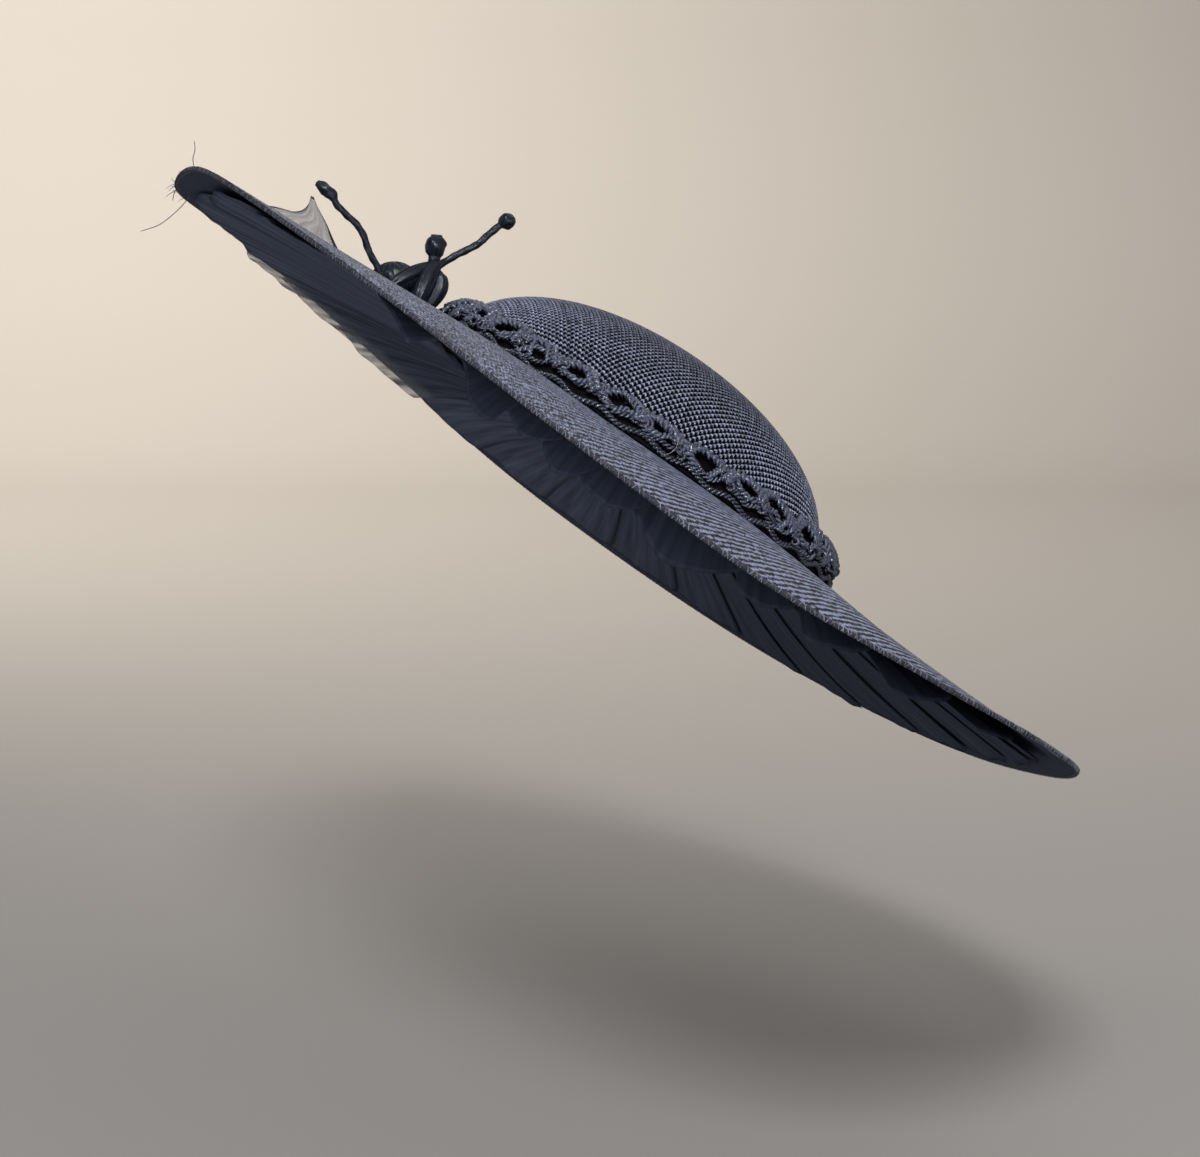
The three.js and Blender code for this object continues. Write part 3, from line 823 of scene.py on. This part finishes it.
# The stems' routes, each with its own radius, and its knob's radius and half length.
STAMENS = {
    "stamen_left": (1.55, 2.8, 6.3, [(-134, -5, -1.3), (-139, -6, 6.5), (-146.5, -6, 10.8), (-152, -6, 15),
                                   (-157, -6, 17.7), (-164.6, -6, 19.1), (-170, -6, 20.3), (-175.5, -6, 23),
                                   (-183.5, -6, 23.6)]),
    "stamen_bud": (2.7, 4.7, 5.4, [(-119, -12, -0.5), (-118.5, -12, 8), (-118.5, -12, 16),
                                   (-120.5, -12, 23), (-126, -12, 33.8)]),
    "stamen_right": (1.65, 3.7, 4, [(-120, 4, -0.5), (-120.5, 4, 12), (-118.5, 4, 23), (-114.5, 4, 32.5),
                                    (-109.3, 4, 42), (-107, 4, 50), (-104.6, 4, 57), (-101.5, 4, 62)]),
}
# Leaves below the bud: the line down the middle of each, from its neck, and its half width.
LEAVES = {
    "leaf_left": (3.5, [(-119.8, -13.5, 21.5), (-123.6, -16.5, 15), (-127.6, -18.5, 8),
                        (-130.6, -19.5, 1.4)]),
    "leaf_middle": (3.9, [(-118.6, -14.5, 24), (-118.2, -17.6, 16), (-117, -20.3, 8), (-116, -21, 0.6)]),
    "leaf_right": (3.5, [(-117.8, -12.5, 20), (-114, -14, 19.4), (-111.2, -15.5, 14.5), (-111, -16, 7),
                         (-112, -16, 0.8)]),
}


def make_stamens(finish):
    """Wound cord stems. At a run s the radius is the larger of the stem's and, near the end, the knob's
    R sqrt(1 - ((s - c) / h)^2), with three low ridges that wind round it and a slight unevenness."""
    for name, (stem, knob, half, route) in STAMENS.items():
        line = curve(route, 120)
        run = run_of(line)[:, None]
        sides = 18
        a = np.arange(sides) * TAU / sides
        bulb = knob * np.sqrt(np.maximum(1 - ((run - (run[-1] - half)) / half) ** 2, 0))
        uneven = 1 + 0.07 * np.sin(run / 1.9 + a) * np.sin(run / 3.1) + 0.05 * np.sin(run / 0.9 + 2 * a)
        radius = np.maximum(stem, bulb) * uneven * (1 + 0.075 * np.cos(3 * a - TAU * run / 7.5))
        radius[[0, -1]] = 0
        grid = tubes(line, radius, (0, -1, 0.2), sides)
        flat = np.stack(np.broadcast_arrays(run, np.arange(sides + 1) * stem * 0.5), -1)
        piece(f"{name}_cord", [grid], finish, (False, True), [flat], [name], weld=True)


def make_leaves(finish):
    """Satin leaves: w sin(pi s)^0.6 wide either side of the middle line, cupped, with rolled edges."""
    for name, (width, route) in LEAVES.items():
        line = curve(route, 30)
        share = np.linspace(0, 1, 30)[:, None]
        front = unit(np.cross(np.gradient(line, axis=0), (1.0, 0.25, 0.1)))
        front = np.where(front[:, 1:2] > 0, -front, front)
        aside = unit(np.cross(np.gradient(line, axis=0), front))
        side = np.linspace(-1, 1, 13)
        half = width * np.sin(math.pi * mix(0.12, 0.93, share)) ** 0.6
        depth = 0.9 - 1.9 * side**2 + 0.22 * np.cos(side * 7 + share * 2)
        middle = line[:, None] + (half * side)[..., None] * aside[:, None] + depth[..., None] * front[:, None]
        wall = (0.35 + 0.3 * side**6)[None, :, None] * front[:, None]
        grid = np.concatenate([middle + wall, (middle - wall)[:, ::-1]], axis=1)
        grid[[0, -1]] = np.concatenate([middle, middle[:, ::-1]], axis=1)[[0, -1]]
        flat = np.arange(2 * len(side) + 1) * 0.6
        flat = np.stack(np.broadcast_arrays(run_of(line)[:, None], flat), -1)
        replaces = [name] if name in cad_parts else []
        piece(f"{name}_satin", [grid], finish, (False, True), [flat], replaces, weld=True)


def make_button(finish):
    """A button wound with cord: an ellipsoid of half sizes size, tipped with the brim, with ridges that
    slant from pole to pole."""
    middle, size, tip = np.array([-131.5, 6, 8.2]), np.array([10.4, 6.4, 7.8]), math.radians(34)
    latitude = np.linspace(-90, 90, 40)[:, None]
    longitude = turns(96)
    across = np.radians(longitude)
    swell = 1 + 0.075 * np.abs(np.cos(np.radians(longitude * 5.5 + latitude * 2.2))) - 0.03
    c, s = np.cos(np.radians(latitude)), np.sin(np.radians(latitude))
    ball = np.broadcast_arrays(c * np.cos(across) * swell, c * np.sin(across) * swell, s * swell)
    ball = np.stack(ball, -1) * size
    x = ball[..., 0] * math.cos(tip) - ball[..., 2] * math.sin(tip)
    z = ball[..., 0] * math.sin(tip) + ball[..., 2] * math.cos(tip)
    grid = np.stack([x, ball[..., 1], z], -1) + middle
    grid[[0, -1]] = grid[[0, -1]].mean(axis=1, keepdims=True)
    flat = np.stack(np.broadcast_arrays(latitude * 0.13, np.arange(len(longitude) + 1) * 0.45), -1)
    piece("button_winding", [grid], finish, (False, True), [flat], ["button"], weld=True)


# ---- the cloth ----

# How far out the petals end, as a share of the brim, and how far their ends hang below it, from the low
# tip round, each 15 degrees.
REACH = np.array([0.92, 0.92, 0.92, 0.92, 0.92, 0.92, 0.92, 0.94, 0.98, 0.98, 0.96, 0.93,
                  0.93, 0.92, 0.85, 0.6, 0.33, 0.3, 0.31, 0.33, 0.38, 0.55, 0.78, 0.89])
DROP = np.array([1.5, 1, 0.5, 0.5, 0.5, 0.5, 0.5, 0.5, 1, 1, 1, 0.5,
                 0.5, 0.5, 1.5, 3.5, 16, 25, 24, 27, 16.5, 8.5, 3.5, 1.5])


def sheet(name, middle, normal, wall, finish, hem, node):
    """A thin closed sheet of cloth about a grid of points, its outermost strip in the hem's finish. Its
    flat coordinates run down its middle column and across its widest row."""
    rows, columns = middle.shape[:2]
    across = run_of(middle)[:, -1].max()
    down = run_of(middle[:, columns // 2])
    cells = np.cross(middle[1:, 1:] - middle[:-1, :-1], middle[1:, :-1] - middle[:-1, 1:])
    side = np.abs(np.linspace(-1, 1, columns))
    end = np.linspace(0, 1, rows)[:, None]
    thick = wall * (1 + 0.8 * smooth(0.93, 1, np.maximum(side, end)))
    thick[:, [0, -1]] *= 0.5
    shift = (thick / 2)[..., None] * normal
    grid = np.concatenate([middle + shift, (middle - shift)[:, ::-1]], axis=1)
    closed = np.concatenate([middle, middle[:, ::-1]], axis=1)
    grid[[0, -1]] = closed[[0, -1]]
    wide = np.linspace(-0.5, 0.5, columns) * across
    wide = np.concatenate([wide, wide[::-1], wide[:1]])
    flat = np.stack(np.broadcast_arrays(down[:, None], wide), -1)
    edge = np.zeros((rows - 1, 2 * columns), dtype=bool)
    edge[-1] = True
    edge[:, [0, columns - 2, columns - 1, columns, -2, -1]] = True
    made = piece(name, [grid], finish, (False, True), [flat], [node], weld=True, second=(hem, edge))


def petal_of(node):
    """A petal's middle angle, half width in degrees, and reach, read back from its CAD node."""
    angle, along = brim_place(in_hat(node))
    angle = (angle - angle[0] + 180) % 360 - 180 + angle[0]
    return (angle.max() + angle.min()) / 2, (angle.max() - angle.min()) / 2, along.max()


def make_petals(cloth, sheer, hem):
    """The petals under the brim. Across a petal, side runs from -1 to 1 and share from 0 at its root to 1
    at its end; the end is rounded by |side|^2.4, each petal's first side laps under the one before it,
    folds sin(side) grow towards the end, and it hangs below the brim by its drop times (along / reach)^3."""
    for node in sorted(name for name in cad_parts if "petal_" in name):
        middle, half, reach = petal_of(node)
        pale = node.startswith("sheer")
        round_end = min(0.055, reach * 0.16)
        side = np.linspace(-1, 1, 25)
        share = np.linspace(0, 1, 26)[:, None] ** 0.8
        angle = middle + side * half * (1 - 0.12 * (1 - share) ** 2)
        ripple = 0.006 * np.sin(side * 4 + middle) + 0.004 * np.sin(side * 9 + middle * 2)
        end = reach - round_end * np.abs(side) ** 2.4 - (ripple + 0.01) * (1 - side**2) * reach
        along = mix(0.04, end, share)
        phase = chance.uniform(0, TAU, 3)
        folds = 0.34 * np.sin(side * 5 + phase[0]) + 0.22 * np.sin(side * 11 + phase[1])
        folds = folds * share**1.3 * (1 - side**8) + 0.25 * np.sin(share * 7 + phase[2]) * share
        hang = ring(DROP, angle) * (along / ring(REACH, angle)) ** 3
        lap = 2.1 * (1 - side) / 2 + 0.5
        points = on_brim(angle, along, -STRAW - 0.4 - hang - lap - folds)
        finish, edge, slot = (sheer, sheer, "sheer_cloth") if pale else (cloth, hem, "petal_cloth")
        sheet(f"{node}_cloth", points, np.array([0, 0, -1.0]), 0.55, finish, edge, node)


# The upright sheer petal's height over the brim, and its two side edges there as shares of the brim.
SPIKE = np.array([(0.45, 0.84, 0.37), (8, 0.82, 0.455), (13.7, 0.739, 0.515), (15.8, 0.675, 0.535),
                  (18.8, 0.65, 0.565), (22.7, 0.646, 0.61), (26.4, 0.655, 0.645)])


def make_spike(sheer, hem):
    """The upright sheer petal: between its two edges it is hollowed by sin(pi s), and it leans back and
    ripples by sin(9 s) as it rises."""
    line = curve(SPIKE, 30)
    s = np.linspace(0, 1, 21)
    height, rise = line[:, :1], line[:, :1] / SPIKE[-1, 0]
    points = on_brim(174, mix(line[:, 1:2], line[:, 2:], s), height)
    points[..., 1] += 1.5 * np.sin(s * math.pi) + 4 * rise + 0.3 * np.sin(s * 9) * rise
    sheet("sheer_spike_cloth", points, np.array([0, 1.0, 0]), 0.5, sheer, hem, "sheer_spike")


# ---- scene ----


def stage_and_light():
    """A pale floor that rises into a wall far behind the hat, a soft window light high in front, weaker
    ones from above, the left, low in front and behind, and one that washes the wall."""
    floor_z = float(cad_box[0][2]) - 0.14
    tone = Finish("backdrop", Base_Color=rgb(172, 167, 160), Roughness=0.9, Specular_IOR_Level=0.1)
    line = curve([(0, -2.6, 0), (0, 1.7, 0), (0, 2.4, 0.08), (0, 2.75, 0.4), (0, 2.85, 1), (0, 2.85, 3)], 60)
    x = np.array([-3.5, 3.5])
    grid = np.stack(np.broadcast_arrays(x, line[:, 1:2], line[:, 2:] + floor_z), -1)
    mesh = bpy.data.meshes.new("floor")
    mesh.from_pydata(grid.reshape(-1, 3).tolist(), [], faces_of(len(line), 2)[:, ::-1].tolist())
    mesh.shade_smooth()
    mesh.materials.append(tone.material)
    floor = bpy.data.objects.new("floor", mesh)
    bpy.context.collection.objects.link(floor)

    lamp("window", (-0.1, -1.4, 1.35), (0, 0, 0), 0.45, 24, rgb(250, 250, 255))
    lamp("ceiling", (0.6, 0.2, 1.6), (0, 0, 0), 1.2, 2.5, rgb(250, 250, 255))
    lamp("room", (-1.6, -0.9, -0.1), (0, 0, 0), 1.2, 4, rgb(220, 232, 255))
    lamp("behind", (0.5, 1.5, 1.3), (0, 0, 0), 1.0, 2, rgb(250, 250, 255))
    lamp("front", (0.3, -1.9, 0.0), (0, 0, 0), 1.3, 14, rgb(236, 242, 255))
    lamp("wall wash", (-1.9, 0.9, 1.6), (0.1, 2.85, 0.5), 1.2, 60, rgb(255, 247, 236), 115)
    world = bpy.data.worlds.new("room light")
    bpy.context.scene.world = world
    world.use_nodes = True
    world.node_tree.nodes["Background"].inputs[0].default_value = rgb(202, 207, 216)
    world.node_tree.nodes["Background"].inputs[1].default_value = 0.42
    bpy.context.scene.view_settings.view_transform = "Standard"


def lamp(name, place, target, size, power, colour, spread=180):
    """A soft square lamp that faces its target, and how wide its beam is in degrees."""
    light = bpy.data.lights.new(name, "AREA")
    light.energy = power
    light.size = size
    light.color = colour[:3]
    light.spread = math.radians(spread)
    made = bpy.data.objects.new(name, light)
    made.location = place
    way = mathutils.Vector(target) - mathutils.Vector(place)
    made.rotation_euler = way.to_track_quat("-Z", "Y").to_euler()
    bpy.context.collection.objects.link(made)


def camera():
    """A little below the brim's plane, almost level, square to the hat's long line."""
    lens = bpy.data.cameras.new("camera")
    lens.lens = 69
    lens.sensor_width = 36
    made = bpy.data.objects.new("camera", lens)
    made.location = (-0.01173, -1.04261, 0.12335)
    made.rotation_euler = (math.radians(80.2), 0, 0)
    bpy.context.collection.objects.link(made)
    bpy.context.scene.camera = made


camera()
stage_and_light()
make_brim(brim_straw(), brim_lining())
make_edge(edge_strip(), edge_thread())
make_crown(crown_shadow(), crown_straw())
braided_cord = satin_cord("braided cord", rgb(3, 3, 6), rgb(87, 92, 111), 0.95, BRAID_WAVE, 2)
twisted_cord = satin_cord("twisted cord", rgb(3, 3, 5), rgb(92, 97, 116), 0.8, TWIST_WAVE, 1)
# The foot cord is a darker copy of the twisted cord: painted shade.
foot_shade_cord = satin_cord("foot shade cord", rgb(3, 3, 5), rgb(62, 65, 79), 0.8, TWIST_WAVE, 1)
ribbed_cord = satin_cord("ribbed cord", rgb(3, 3, 5), rgb(84, 88, 106), 0.9)
flower = flower_satin()
pale_thread = satin_cord("pale thread", rgb(110, 107, 102), rgb(160, 156, 148), 0.13)
make_padding(shaded_padding())
make_trim(braided_cord, twisted_cord, foot_shade_cord, ribbed_cord, pale_thread)
make_stamens(flower)
make_leaves(flower)
make_button(flower)
petal_finish = petal_cloth("petal cloth", rgb(50, 54, 65), rgb(110, 117, 138))
petal_hem = petal_cloth("petal hem", rgb(47, 50, 61), rgb(104, 110, 130))
spike_hem = petal_cloth("sheer hem", rgb(40, 42, 48), rgb(84, 87, 94))
make_petals(petal_finish, sheer_cloth(108, 0.96), petal_hem)
make_spike(sheer_cloth(-30, 0.6), spike_hem)
